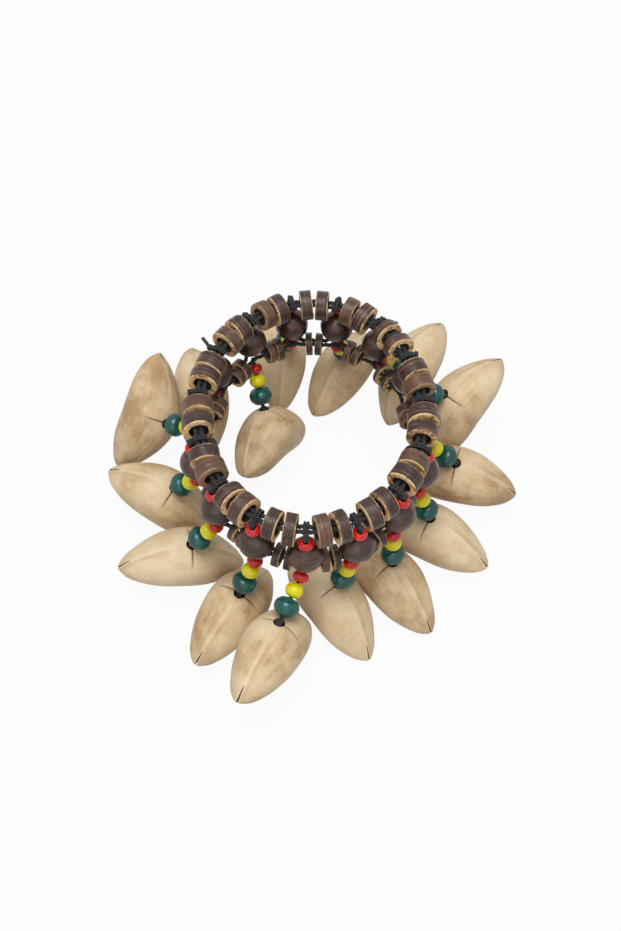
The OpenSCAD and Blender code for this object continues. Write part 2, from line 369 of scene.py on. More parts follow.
@dataclass(frozen=True)
class CoconutFinish:
    """Dark streaked shell skin with tan, rough cut faces, worn edges and painted shade in the bore."""

    skin: Colour = tint(48, 29, 24)
    skin_worn: Colour = tint(128, 90, 66)
    cut: Colour = tint(240, 204, 150)
    cut_dark: Colour = tint(140, 98, 62)
    # painted shade: the colour of the bore's wall, dark as the shade inside the hole
    hole: Colour = tint(40, 26, 20)
    fray: Cloud = Cloud(900.0, 3.0, 0.6)
    cloud: Cloud = Cloud(260.0, 3.0, 0.6)
    lines: Cloud = Cloud(1.4, 3.0, 0.65)
    lines_stretch: Triple = (3.2, 13.0, 1.6)
    bare_edge: Span = (0.86, 0.98)
    edge_fray: float = 0.16
    browning: float = 0.7
    # reach of the bore's painted shade, from the bore's wall outwards
    bore_shade_reach: Span = (0.14, 0.02)
    roughness: Span = (0.34, 0.8)
    relief: float = 0.0004

    def make(self) -> Material:
        """Builds the material.

        Returns:
            The material.
        """
        tree = ShaderTree("coconut_shell_rings")
        axial = tree.value("axial")
        tone = tree.value("tone")
        place = tree.place()
        fray = tree.noise(place, self.fray)
        cloud = tree.noise(place, self.cloud)
        lines = tree.noise(tree.stretched((axial, tone, cloud), self.lines_stretch), self.lines)
        skin = self.skin
        wear = ((lines, (0.48, 0.76), 1.0), (cloud, (0.56, 0.72), 0.5), (tone, (0.55, 1.0), 0.4))
        for value, span, share in wear:
            skin = tree.mix(tree.times(tree.step(value, span), share), skin, self.skin_worn)
        cut = tree.mix(tree.step(tree.mean(fray, 0.5, cloud), (0.38, 0.54)), self.cut_dark, self.cut)
        faces = tree.calc("ADD", tree.calc("ABSOLUTE", axial), tree.times(fray, self.edge_fray))
        browned = tree.step(tree.calc("ADD", tone, tree.times(cloud, 0.5)), (0.95, 1.25))
        kept = tree.calc("SUBTRACT", 1.0, tree.times(browned, self.browning))
        bare = tree.times(tree.step(faces, self.bare_edge), kept)
        colour = tree.mix(bare, skin, cut)
        # painted shade: the bore's wall darkened where the hole's shade falls
        colour = tree.mix(tree.step(tree.value("radial"), self.bore_shade_reach), colour, self.hole)
        rough = tree.between(bare, self.roughness)
        normal = tree.bump(tree.mean(fray, 0.6, lines), self.relief, 0.8)
        return tree.dress(Base_Color=colour, Roughness=rough, Normal=normal, Specular_IOR_Level=0.4)


@dataclass(frozen=True)
class BrownWoodFinish:
    """Dark, reddish, satin wood of the large beads."""

    dark: Colour = tint(36, 23, 20)
    middle: Colour = tint(66, 42, 35)
    light: Colour = tint(118, 76, 58)
    stops: Triple = (0.34, 0.52, 0.72)
    cloud: Cloud = Cloud(150.0, 4.0, 0.6)
    cloud_share: float = 0.65
    grain: Cloud = Cloud(420.0)
    grain_squeeze: Triple = (1.0, 1.0, 5.0)
    roughness: Span = (0.2, 0.36)
    relief: float = 0.0006

    def make(self) -> Material:
        """Builds the material.

        Returns:
            The material.
        """
        tree = ShaderTree("brown_wood_beads")
        place = tree.place()
        cloud = tree.noise(place, self.cloud)
        squeezed = tree.out("ShaderNodeMapping", {"Vector": place, "Scale": self.grain_squeeze})
        grain = tree.noise(squeezed, self.grain)
        shade = tree.mean(cloud, self.cloud_share, grain)
        colour = tree.ramp(shade, self.stops, (self.dark, self.middle, self.light))
        rough = tree.between(grain, self.roughness)
        normal = tree.bump(shade, self.relief, 0.7)
        return tree.dress(Base_Color=colour, Roughness=rough, Normal=normal, Specular_IOR_Level=0.45)


@dataclass(frozen=True)
class GlossBeadFinish:
    """Glossy painted bead with a little unevenness in its paint."""

    name: str
    deep: Colour
    bright: Colour
    cloud: Cloud = Cloud(240.0, 2.0, 0.5)
    cloud_step: Span = (0.3, 0.7)
    scuffs: Cloud = Cloud(2200.0, 2.0, 0.6)
    roughness: Span = (0.14, 0.34)
    relief: float = 0.00012

    def make(self) -> Material:
        """Builds the material.

        Returns:
            The material.
        """
        tree = ShaderTree(self.name)
        place = tree.place()
        cloud = tree.noise(place, self.cloud)
        colour = tree.mix(tree.step(cloud, self.cloud_step), self.deep, self.bright)
        rough = tree.between(tree.noise(place, self.scuffs), self.roughness)
        return tree.dress(
            Base_Color=colour, Roughness=rough, Normal=tree.bump(cloud, self.relief, 0.4), Coat_Weight=0.15,
            Coat_Roughness=0.12, Specular_IOR_Level=0.35,
        )


@dataclass(frozen=True)
class CordFinish:
    """Matt black cord with a bluish sheen on its fibres."""

    name: str
    black: Colour = tint(11, 12, 15)
    grey: Colour = tint(36, 39, 47)
    fibres: Cloud = Cloud(2600.0, 3.0, 0.6)
    fibre_step: Span = (0.45, 0.72)
    relief: float = 0.0002

    def make(self) -> Material:
        """Builds the material.

        Returns:
            The material.
        """
        tree = ShaderTree(self.name)
        fibres = tree.noise(tree.place(), self.fibres)
        colour = tree.mix(tree.step(fibres, self.fibre_step), self.black, self.grey)
        return tree.dress(
            Base_Color=colour, Roughness=0.72, Normal=tree.bump(fibres, self.relief, 0.7), Sheen_Weight=0.1,
            Sheen_Roughness=0.5,
        )


class GeometryTree(NodeTree):
    """A Geometry Nodes tree with named inputs, whose result is baked to a plain mesh."""

    def __init__(self, name: str) -> None:
        """Starts a tree that takes and gives geometry.

        Args:
            name: The tree's name.
        """
        self.group = bpy.data.node_groups.new(name, "GeometryNodeTree")
        self.group.is_modifier = True
        super().__init__(self.group)
        self.sockets: dict[str, str] = {}
        self.start = self.add("NodeGroupInput")
        self.end = self.add("NodeGroupOutput")
        self.geometry = self.take("Geometry", "NodeSocketGeometry")
        self.group.interface.new_socket("Geometry", in_out="OUTPUT", socket_type="NodeSocketGeometry")

    def take(self, name: str, kind: str) -> Socket:
        """Adds a named input and gives its socket.

        Args:
            name: The input's name.
            kind: Blender's name of its type.

        Returns:
            The socket.
        """
        item = self.group.interface.new_socket(name, in_out="INPUT", socket_type=kind)
        self.sockets[name] = item.identifier
        return self.start.outputs[name]

    def take_numbers(self, *names: str) -> list[Socket]:
        """Adds named inputs for numbers and gives their sockets."""
        return [self.take(name, "NodeSocketFloat") for name in names]

    def scaled(self, vector: Any, size: Any) -> Socket:
        """A vector times a number."""
        return self.out("ShaderNodeVectorMath", {0: vector, "Scale": size}, operation="SCALE")

    def close(self, geometry: Socket, material: Socket) -> None:
        """Ends the tree: smooth shading, real instances and the material.

        Args:
            geometry: What the tree has made.
            material: Its material.
        """
        smooth = self.out("GeometryNodeSetShadeSmooth", {"Geometry": geometry})
        real = self.out("GeometryNodeRealizeInstances", {"Geometry": smooth})
        dressed = self.out("GeometryNodeSetMaterial", {"Geometry": real, "Material": material})
        self.feed(self.end.inputs[0], dressed)

    def bake(self, name: str, mesh: Mesh, values: dict[str, Any]) -> Object:
        """Runs the tree on a mesh.

        Args:
            name: Name of the finished piece.
            mesh: What the tree starts from.
            values: The tree's inputs by name.

        Returns:
            A new object with the plain result.
        """
        source = new_object(f"{name}_source", mesh)
        modifier = source.modifiers.new("build", "NODES")
        modifier.node_group = self.group
        for label, value in values.items():
            modifier[self.sockets[label]] = value
        result = plain_mesh(source)
        source.modifiers.remove(modifier)
        bpy.data.objects.remove(source)
        return new_object(name, result)


class CordTree(GeometryTree):
    """Lays a twisted, lobed cord along each line of a mesh."""

    LOBES = 3
    SIDES = 15
    STEP = 0.22
    GROOVE = 0.3

    def __init__(self) -> None:
        """Builds the tree."""
        super().__init__("twisted_cord")
        radius, lay, step, groove = self.take_numbers("Radius", "Lay", "Step", "Groove")
        material = self.take("Material", "NodeSocketMaterial")
        line = self.out("GeometryNodeMeshToCurve", {"Mesh": self.geometry})
        line = self.out("GeometryNodeResampleCurve", {"Curve": line, "Length": step}, mode="LENGTH")
        run = self.add("GeometryNodeSplineParameter").outputs["Length"]
        line = self.out("GeometryNodeSetCurveTilt", {"Curve": line, "Tilt": self.times(run, lay)})
        section = self.lobed_profile(radius, groove)
        sweep = {"Curve": line, "Profile Curve": section, "Fill Caps": True}
        self.close(self.out("GeometryNodeCurveToMesh", sweep), material)

    def lobed_profile(self, radius: Any, groove: Any) -> Socket:
        """The cord's section: a circle drawn in between its lobes.

        Args:
            radius: Outer radius.
            groove: Depth of the grooves as a share of the radius.

        Returns:
            The section's curve.
        """
        circle = self.out("GeometryNodeCurvePrimitiveCircle", {"Resolution": self.SIDES, "Radius": radius})
        position = self.out("GeometryNodeInputPosition")
        parts = self.add("ShaderNodeSeparateXYZ", {0: position})
        angle = self.calc("ARCTAN2", parts.outputs[1], parts.outputs[0])
        wave = self.calc("COSINE", self.times(angle, float(self.LOBES)))
        dip = self.times(self.calc("SUBTRACT", 1.0, wave), self.times(groove, 0.5))
        moved = self.scaled(position, self.calc("SUBTRACT", 1.0, dip))
        return self.out("GeometryNodeSetPosition", {"Geometry": circle, "Position": moved})


class RowTree(GeometryTree):
    """Sets a shape at each point of a mesh, turned and sized by the point, and makes it uneven."""

    DETAIL = 1.5

    def __init__(self) -> None:
        """Builds the tree."""
        super().__init__("uneven_row")
        shape = self.take("Shape", "NodeSocketObject")
        wobble, lumps, seed = self.take_numbers("Wobble", "Lumps", "Seed")
        material = self.take("Material", "NodeSocketMaterial")
        geometry = self.add("GeometryNodeObjectInfo", {"Object": shape}).outputs["Geometry"]
        turn = self.out("FunctionNodeEulerToRotation", {0: self.carried("turn")})
        grow = self.carried("grow")
        copies = {"Points": self.geometry, "Instance": geometry, "Rotation": turn, "Scale": grow}
        row = self.out("GeometryNodeInstanceOnPoints", copies)
        row = self.out("GeometryNodeRealizeInstances", {"Geometry": row})
        position = self.out("GeometryNodeInputPosition")
        pattern = {"Vector": position, "W": seed, "Scale": lumps, "Detail": self.DETAIL}
        cloud = self.add("ShaderNodeTexNoise", pattern, noise_dimensions="4D").outputs["Fac"]
        push = self.times(cloud, self.times(wobble, -1.0))
        offset = self.scaled(self.out("GeometryNodeInputNormal"), push)
        row = self.out("GeometryNodeSetPosition", {"Geometry": row, "Offset": offset})
        self.close(row, material)

    def carried(self, name: str) -> Socket:
        """A vector that the points carry."""
        return self.out("GeometryNodeInputNamedAttribute", {"Name": name}, data_type="FLOAT_VECTOR")


def new_object(name: str, data: bpy.types.ID) -> Object:
    """Puts a mesh, a camera or a lamp into the scene at the origin.

    Args:
        name: The object's name.
        data: What the object shows.

    Returns:
        The object.
    """
    thing = bpy.data.objects.new(name, data)
    bpy.context.scene.collection.objects.link(thing)
    return thing


def plain_mesh(thing: Object) -> Mesh:
    """The mesh that an object's modifiers give.

    Args:
        thing: An object with modifiers.

    Returns:
        A new mesh.
    """
    depsgraph = bpy.context.evaluated_depsgraph_get()
    return bpy.data.meshes.new_from_object(
        thing.evaluated_get(depsgraph), preserve_all_data_layers=True, depsgraph=depsgraph
    )


def carry(mesh: Mesh, name: str, values: np.ndarray) -> None:
    """Stores a number or a vector on each point of a mesh.

    Args:
        mesh: The mesh.
        name: Name of the attribute.
        values: One number or one row of three for each point.
    """
    values = np.asarray(values, np.float32)
    kind, field = ("FLOAT", "value") if values.ndim == 1 else ("FLOAT_VECTOR", "vector")
    mesh.attributes.new(name, kind, "POINT").data.foreach_set(field, values.ravel())


def points_of(mesh: Mesh) -> np.ndarray:
    """The mesh's points as rows of three numbers.

    Args:
        mesh: The mesh.

    Returns:
        One row for each point.
    """
    flat = np.zeros(len(mesh.vertices) * 3, np.float32)
    mesh.vertices.foreach_get("co", flat)
    return flat.reshape(-1, 3).astype(float)


def closed_mesh(name: str, points: np.ndarray, faces: list[list[int]]) -> Mesh:
    """Makes a mesh of a closed surface with its faces outwards.

    Args:
        name: Name of the mesh.
        points: Rows of three numbers, in metres.
        faces: Point numbers of each face, all wound the same way.

    Returns:
        The mesh.
    """
    volume = 0.0
    for face in faces:
        first = points[face[0]]
        for b, c in zip(face[1:-1], face[2:]):
            volume += float(np.dot(first, np.cross(points[b], points[c])))
    wound = [face[::-1] for face in faces] if volume < 0 else faces
    mesh = bpy.data.meshes.new(name)
    mesh.from_pydata(points.tolist(), [], wound)
    mesh.shade_smooth()
    return mesh


def lathe(name: str, outline: Sequence[tuple[float, float]], sides: int) -> Mesh:
    """Turns a closed outline round Z.

    Args:
        name: Name of the mesh.
        outline: Radius and height of each point, in metres.
        sides: Number of sides.

    Returns:
        The mesh.
    """
    count = len(outline)
    turns = round_steps(sides)
    points = np.array([(r * math.cos(a), r * math.sin(a), z) for a in turns for r, z in outline])
    faces = [
        [
            k * count + j,
            (k + 1) % sides * count + j,
            (k + 1) % sides * count + (j + 1) % count,
            k * count + (j + 1) % count,
        ]
        for k in range(sides)
        for j in range(count)
    ]
    return closed_mesh(name, points, faces)


@dataclass(frozen=True)
class Line:
    """A run of points that a cord follows."""

    points: tuple[Vector, ...]
    closed: bool = False

    def length(self) -> float:
        """Length along the points."""
        ring = self.points + self.points[:1] if self.closed else self.points
        return sum((b - a).length for a, b in zip(ring, ring[1:]))


def line_mesh(name: str, lines: Iterable[Line]) -> Mesh:
    """Makes a mesh of points and edges only.

    Args:
        name: Name of the mesh.
        lines: The runs of points.

    Returns:
        The mesh.
    """
    points: list[Vector] = []
    edges: list[tuple[int, int]] = []
    for line in lines:
        first = len(points)
        count = len(line.points)
        points.extend(line.points)
        edges.extend((first + k, first + k + 1) for k in range(count - 1))
        if line.closed:
            edges.append((first + count - 1, first))
    mesh = bpy.data.meshes.new(name)
    mesh.from_pydata([tuple(p) for p in points], edges, [])
    return mesh


def trefoil(place: Matrix, width: float, height: float) -> Line:
    """The run of a small tied knot.

    Args:
        place: Where the knot sits, with its lead along Z.
        width: Width of the knot's centre line.
        height: Height of the knot's centre line.

    Returns:
        A closed line.
    """
    steps = 54
    reach = 3.0
    points = []
    for t in round_steps(steps):
        x = (math.sin(t) + 2 * math.sin(2 * t)) * width / 2 / reach
        y = (math.cos(t) - 2 * math.cos(2 * t)) * width / 2 / reach
        points.append(place @ Vector((x, y, -math.sin(3 * t) * height / 2)))
    return Line(tuple(points), closed=True)


def hoop(place: Matrix, width: float, height: float, shift: float, steps: int) -> Line:
    """One winding round a cord that runs along Y, in millimetres.

    Args:
        place: Where the cord is wound.
        width: Half the winding's width.
        height: Half the winding's height.
        shift: How far along the cord it lies.
        steps: Number of its points.

    Returns:
        A closed line.
    """
    points = [Vector((width * math.cos(a), shift, height * math.sin(a))) for a in round_steps(steps)]
    return Line(tuple(place @ (point * MM) for point in points), closed=True)


@dataclass(frozen=True)
class Lie:
    """How a drop lies at rest, in degrees."""

    tilt: float
    lean: float
    spin: float
    rock: float


LIES = (
    Lie(44, 2, -12, 32),
    Lie(34, -4, -15, 30),
    Lie(52, 0, 12, 24),
    Lie(60, 3, 20, 22),
    Lie(44, -5, -22, 40),
    Lie(19, 0, -16, 14),
    Lie(6, -4, -14, 6),
    Lie(-6, -12, 8, -6),
    Lie(62, -23, -12, 42),
    Lie(25, -9, 4, 18),
    Lie(30, -19, -16, 18),
    Lie(33, -23, -30, 15),
    Lie(58, -24, -68, -10),
    Lie(35, -20, -48, 15),
    Lie(-33, 12, -60, 0),
)


def turned(degrees: float, axis: str) -> Matrix:
    """A turn about one axis."""
    return Matrix.Rotation(math.radians(degrees), 4, axis)


@dataclass(frozen=True)
class Layout:
    """The bracelet's places, with its sizes in millimetres as in the part's source."""

    half_x: float = 30.0
    half_y: float = 37.5
    cord_height: float = 50.6
    strand_d: float = 1.3
    strand_pitch: float = 1.5
    strand_clear: float = 0.1
    station_clear: float = 0.35
    cord_d: float = 1.1
    station_grip: int = 4
    first_station: float = -10.0
    tie_station: int = 2
    ring_gap: float = 0.4
    ring_tilt: float = 5.0
    tie_knot_t: float = 1.2
    low_ring_inset: float = 0.8
    column_tilt: float = 7.0
    column_out: float = 1.4
    brown_drop: float = 10.0
    brown_d: float = 10.4
    seat_gap: float = 0.15
    top_bead_h: float = 3.2
    top_knot_d: float = 2.2
    pivot_below_brown: float = 1.9
    strand_rise: float = 1.0
    bead_start: float = 1.8
    bead_heights: Triple = (3.2, 4.2, 5.2)
    bead_gap: float = 0.1
    crown_gap: float = 1.3
    nut_wall: float = 1.2
    strand_steps: int = 14
    sway_step: float = 137.0

    @property
    def pitch(self) -> float:
        """Angle from one station to the next."""
        return 360 / STATIONS

    @property
    def top_bead_at(self) -> float:
        """Place of the red bead on a station's cord, up from the brown bead's middle."""
        return self.brown_d / 2 + self.seat_gap + self.top_bead_h / 2

    @property
    def top_knot_at(self) -> float:
        """Place of the knot on the red bead."""
        return self.top_bead_at + self.top_bead_h / 2 + self.seat_gap + self.top_knot_d / 2

    @property
    def pivot_at(self) -> float:
        """Distance from a brown bead's middle to the drop's pivot."""
        return self.brown_d / 2 + self.pivot_below_brown

    @property
    def pivot_out(self) -> float:
        """How far the pivots lie outside the loop."""
        return self.column_out - self.pivot_at * math.sin(math.radians(self.column_tilt))

    @property
    def pivot_drop(self) -> float:
        """How far the pivots lie below the upper cord."""
        return self.brown_drop + self.pivot_at * math.cos(math.radians(self.column_tilt))

    @property
    def lower_z(self) -> float:
        """Height of the lower strands."""
        return self.cord_height - self.pivot_drop + self.strand_rise

    @property
    def bead_places(self) -> list[float]:
        """Places of the red, the yellow and the green bead along a drop.

        Returns:
            Millimetres down from the pivot.
        """
        places = []
        start = self.bead_start
        for height in self.bead_heights:
            places.append(start + height / 2)
            start += height + self.bead_gap
        return places

    @property
    def nut_at(self) -> float:
        """Place of the nutshell's crown hole along a drop."""
        return self.bead_places[-1] + self.bead_heights[-1] / 2 + self.crown_gap + self.nut_wall / 2

    def station_angle(self, i: int) -> float:
        """Angle of a station, clockwise from the back."""
        return self.first_station + self.pitch * i

    def speed(self, angle: float) -> float:
        """Millimetres of loop for each degree."""
        a = math.radians(angle)
        return math.hypot(self.half_x * math.cos(a), self.half_y * math.sin(a)) * math.pi / 180

    def bend(self, angle: float) -> float:
        """Curvature of the loop."""
        return self.half_x * self.half_y / (self.speed(angle) * 180 / math.pi) ** 3

    def at_loop(self, angle: float, out: float, z: float) -> Matrix:
        """A place beside the loop, with X outwards.

        Args:
            angle: Degrees clockwise from the back.
            out: Distance outside the loop.
            z: Height.

        Returns:
            The place, in metres.
        """
        a = math.radians(angle)
        outward = Vector((self.half_y * math.sin(a), self.half_x * math.cos(a), 0)).normalized()
        point = Vector((self.half_x * math.sin(a), self.half_y * math.cos(a), z)) + out * outward
        return Matrix.Translation(point * MM) @ Matrix.Rotation(math.atan2(outward.y, outward.x), 4, "Z")

    def at_column(self, i: int, along: float) -> Matrix:
        """A place on a station's cord, measured up from its brown bead's middle."""
        foot = self.at_loop(self.station_angle(i), self.column_out, self.cord_height - self.brown_drop)
        return foot @ turned(self.column_tilt, "Y") @ Matrix.Translation((0, 0, along * MM))

    def along_string(self, i: int, along: float) -> Matrix:
        """A place on a drop's cord, measured down from its pivot.

        Args:
            i: Which drop.
            along: Millimetres from the pivot.

        Returns:
            The place, in metres.
        """
        pivot = self.at_loop(self.station_angle(i), self.pivot_out, self.cord_height - self.pivot_drop)
        swing = turned(-LIES[i].tilt, "Y") @ turned(LIES[i].lean, "X")
        return pivot @ swing @ Matrix.Translation((0, 0, -along * MM))

    def at_nut(self, i: int) -> Matrix:
        """The frame of a nutshell, at the middle of its crown hole."""
        return self.along_string(i, self.nut_at) @ turned(LIES[i].spin, "Z") @ turned(LIES[i].rock, "Y")

    def near(self, angle: float) -> float:
        """1 at a station and 0 between two stations."""
        wave = math.cos(math.radians((angle - self.first_station) * STATIONS))
        return (0.5 + 0.5 * wave) ** self.station_grip

    def strand(self, upper: bool, side: int) -> Line:
        """The run of one elastic strand.

        Args:
            upper: Whether it is the upper cord's.
            side: -1 for the inner strand and 1 for the outer.

        Returns:
            A closed line.
        """
        steps = STATIONS * self.strand_steps
        spread_at_station = self.cord_d / 2 + self.strand_d / 2 + self.station_clear
        rise = self.strand_rise * math.tan(math.radians(self.column_tilt))
        reach = self.pivot_out + rise + self.low_ring_inset
        points = []
        for k in range(steps):
            angle = self.first_station + 360 * k / steps
            near = 0.0 if upper else self.near(angle)
            apart = side * (self.strand_pitch / 2 + (spread_at_station - self.strand_pitch / 2) * near)
            out = 0.0 if upper else reach * near - self.low_ring_inset
            z = self.cord_height if upper else self.lower_z
            points.append(self.at_loop(angle, out + apart, z).translation)
        return Line(tuple(points), closed=True)

    def ring_places(self, shape: "RingShape", out: float, z: float) -> list[tuple[Matrix, float]]:
        """Frames of a cord's rings, two between each two stations, with their axes along Z.

        Args:
            shape: A ring at the front or back, where the stations lie closest.
            out: Distance of the rings' cord outside the loop.
            z: Height of the rings' middles.

        Returns:
            A frame for each ring, with its thickness as a multiple of the shape's.
        """
        places = []
        for i in range(STATIONS):
            middle = self.station_angle(i) + self.pitch / 2
            knot_room = self.tie_knot_t + self.ring_gap if i == self.tie_station else 0.0
            t = shape.t * self.speed(middle) / self.speed(0) - knot_room / 2
            gap = shape.d / 2 * t * self.bend(middle) + self.ring_gap + knot_room
            sway = self.ring_tilt * math.sin(math.radians(self.sway_step * i))
            for side in (-1, 1):
                angle = middle + side * (t + gap) / 2 / self.speed(middle)
                places.append((self.at_loop(angle, out, z) @ turned(sway + 90, "X"), t / shape.t))
        return places


ELASTIC_SHADES = (tint(10, 11, 13), tint(32, 34, 40))
RED_SHADES = (tint(188, 20, 14), tint(214, 34, 24))
YELLOW_SHADES = (tint(216, 206, 4), tint(230, 222, 8))
GREEN_SHADES = (tint(4, 64, 58), tint(8, 86, 78))


@dataclass(frozen=True)
class Unevenness:
    """How uneven a shape is: the depth in millimetres, and the lumps in a metre."""

    wobble: float
    lumps: float


@dataclass
class Workshop:
    """What the sub-assemblies share: places, node trees and finishes."""

    layout: Layout = Layout()
    cords: CordTree = field(default_factory=CordTree)
    rows: RowTree = field(default_factory=RowTree)
    cord_finish: Material = field(default_factory=CordFinish("black_cord").make)
    elastic_finish: Material = field(default_factory=CordFinish("black_elastic", *ELASTIC_SHADES).make)
    red_finish: Material = field(default_factory=GlossBeadFinish("red_paint", *RED_SHADES).make)
    yellow_finish: Material = field(default_factory=GlossBeadFinish("yellow_paint", *YELLOW_SHADES).make)
    green_finish: Material = field(default_factory=GlossBeadFinish("green_paint", *GREEN_SHADES).make)
    wood_finish: Material = field(default_factory=BrownWoodFinish().make)
    coconut_finish: Material = field(default_factory=CoconutFinish().make)
    nut_finish: Material = field(default_factory=NutshellFinish().make)
    hollow_finish: Material = field(default_factory=HollowFinish().make)

    def lay_cord(
        self, name: str, lines: Sequence[Line], diameter: float, finish: Material, lay: float = CORD_LAY
    ) -> Object:
        """Makes a twisted cord along lines.

        Args:
            name: Name of the piece.
            lines: What the cord follows.
            diameter: The cord's diameter in millimetres.
            finish: The cord's material.
            lay: Length of one full twist in millimetres.

        Returns:
            The piece.
        """
        twist = 2 * math.pi / (lay * MM)
        if lines[0].closed:
            third = 2 * math.pi / CordTree.LOBES
            run = lines[0].length()
            twist = round(twist * run / third) * third / run
        values = {
            "Radius": diameter / 2 * MM,
            "Lay": twist,
            "Step": diameter * CordTree.STEP * MM,
            "Groove": CordTree.GROOVE,
            "Material": finish,
        }
        return self.cords.bake(name, line_mesh(f"{name}_line", lines), values)

    def set_row(
        self,
        name: str,
        shape: Mesh,
        places: Sequence[Matrix],
        finish: Material,
        uneven: Unevenness,
        seed: float,
        sizes: Sequence[Triple] | None = None,
    ) -> Object:
        """Sets a shape at many places.

        Args:
            name: Name of the piece.
            shape: The shape, with its axis along Z.
            places: A frame for each copy.
            finish: The copies' material.
            uneven: The copies' unevenness.
            seed: Seed of the unevenness.
            sizes: The three scales of each copy, or nothing for the shape's own size.

        Returns:
            The piece.
        """
        mesh = bpy.data.meshes.new(f"{name}_points")
        mesh.from_pydata([tuple(p.translation) for p in places], [], [])
        carry(mesh, "turn", np.array([tuple(p.to_euler("XYZ")) for p in places]))
        carry(mesh, "grow", np.array(sizes or [(1, 1, 1)] * len(places)))
        carry(mesh, "tone", np.array([spread(k, Scatter.TONE, 0, 1) for k in range(len(places))]))
        pattern = new_object(f"{name}_shape", shape)
        bumps = {"Wobble": uneven.wobble * MM, "Lumps": uneven.lumps, "Seed": seed}
        values = {"Shape": pattern, "Material": finish, **bumps}
        piece = self.rows.bake(name, mesh, values)
        bpy.data.objects.remove(pattern)
        return piece


def hand_over(piece: Object, body: str, slot: Slot, *nodes: str) -> None:
    """Rides a finished piece on its body, in place of its nodes.

    Args:
        piece: The finished piece.
        body: The body that it moves with.
        slot: The record's slot for its finish; not used.
        *nodes: The nodes that it stands for.
    """
    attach(piece, body)
    if nodes:
        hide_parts(*nodes)
    log.info("%s on %s: %d faces", piece.name, body, len(piece.data.polygons))


@dataclass(frozen=True)
class BeadShape:
    """A round bead with a bore along Z, in millimetres."""

    d: float
    h: float
    bore: float = 1.5
    lip: float = 0.12
    sides: int = 40
    arc_steps: int = 18

    def outline(self) -> list[tuple[float, float]]:
        """The bead's closed outline in metres: the round outside, then the bore.

        Returns:
            Radius and height of each point.
        """
        edge = min(self.d, self.h) / 2
        centre = self.d / 2 - edge
        rim = self.bore / 2 + self.lip
        reach = math.pi / 2 if centre >= rim else math.acos((rim - centre) / edge)
        arc = [-reach + 2 * reach * k / self.arc_steps for k in range(self.arc_steps + 1)]
        points = [(centre + edge * math.cos(a), edge * math.sin(a)) for a in arc]
        mouth = points[-1][1] - self.lip
        points += [(self.bore / 2, mouth), (self.bore / 2, 0.0), (self.bore / 2, -mouth)]
        return [(r * MM, z * MM) for r, z in points]

    def make(self, name: str) -> Mesh:
        """Turns the bead."""
        return lathe(name, self.outline(), self.sides)


@dataclass(frozen=True)
class RingShape:
    """A cut shell ring with its axis along Z, in millimetres."""

    d: float
    hole_d: float
    t: float
    edge: float = 0.45
    sides: int = 44

    def make(self, name: str) -> Mesh:
        """Turns the ring and marks its cut faces and its depth on its points.

        Args:
            name: Name of the mesh.

        Returns:
            The mesh.
        """
        inner, outer, half = self.hole_d / 2, self.d / 2, self.t / 2
        corner = [math.radians(a) for a in (0, 27, 63, 90)]
        walls = (0.25, 0.5, 0.75)
        low = [(outer - self.edge * (1 - math.sin(a)), -half + self.edge * (1 - math.cos(a))) for a in corner]
        points = list(low)
        points += [(outer, (2 * w - 1) * (half - self.edge)) for w in walls]
        points += [(r, -z) for r, z in reversed(low)]
        points += [(outer - self.edge - w * (outer - inner - self.edge), half) for w in walls]
        points += [(inner, half - self.edge / 2), (inner, 0.0), (inner, -half + self.edge / 2)]
        points += [(inner + w * (outer - inner - self.edge), -half) for w in walls]
        mesh = lathe(name, [(r * MM, z * MM) for r, z in points], self.sides)
        place = points_of(mesh) / MM
        carry(mesh, "axial", place[:, 2] / half)
        carry(mesh, "radial", (np.hypot(place[:, 0], place[:, 1]) - inner) / (outer - inner))
        return mesh


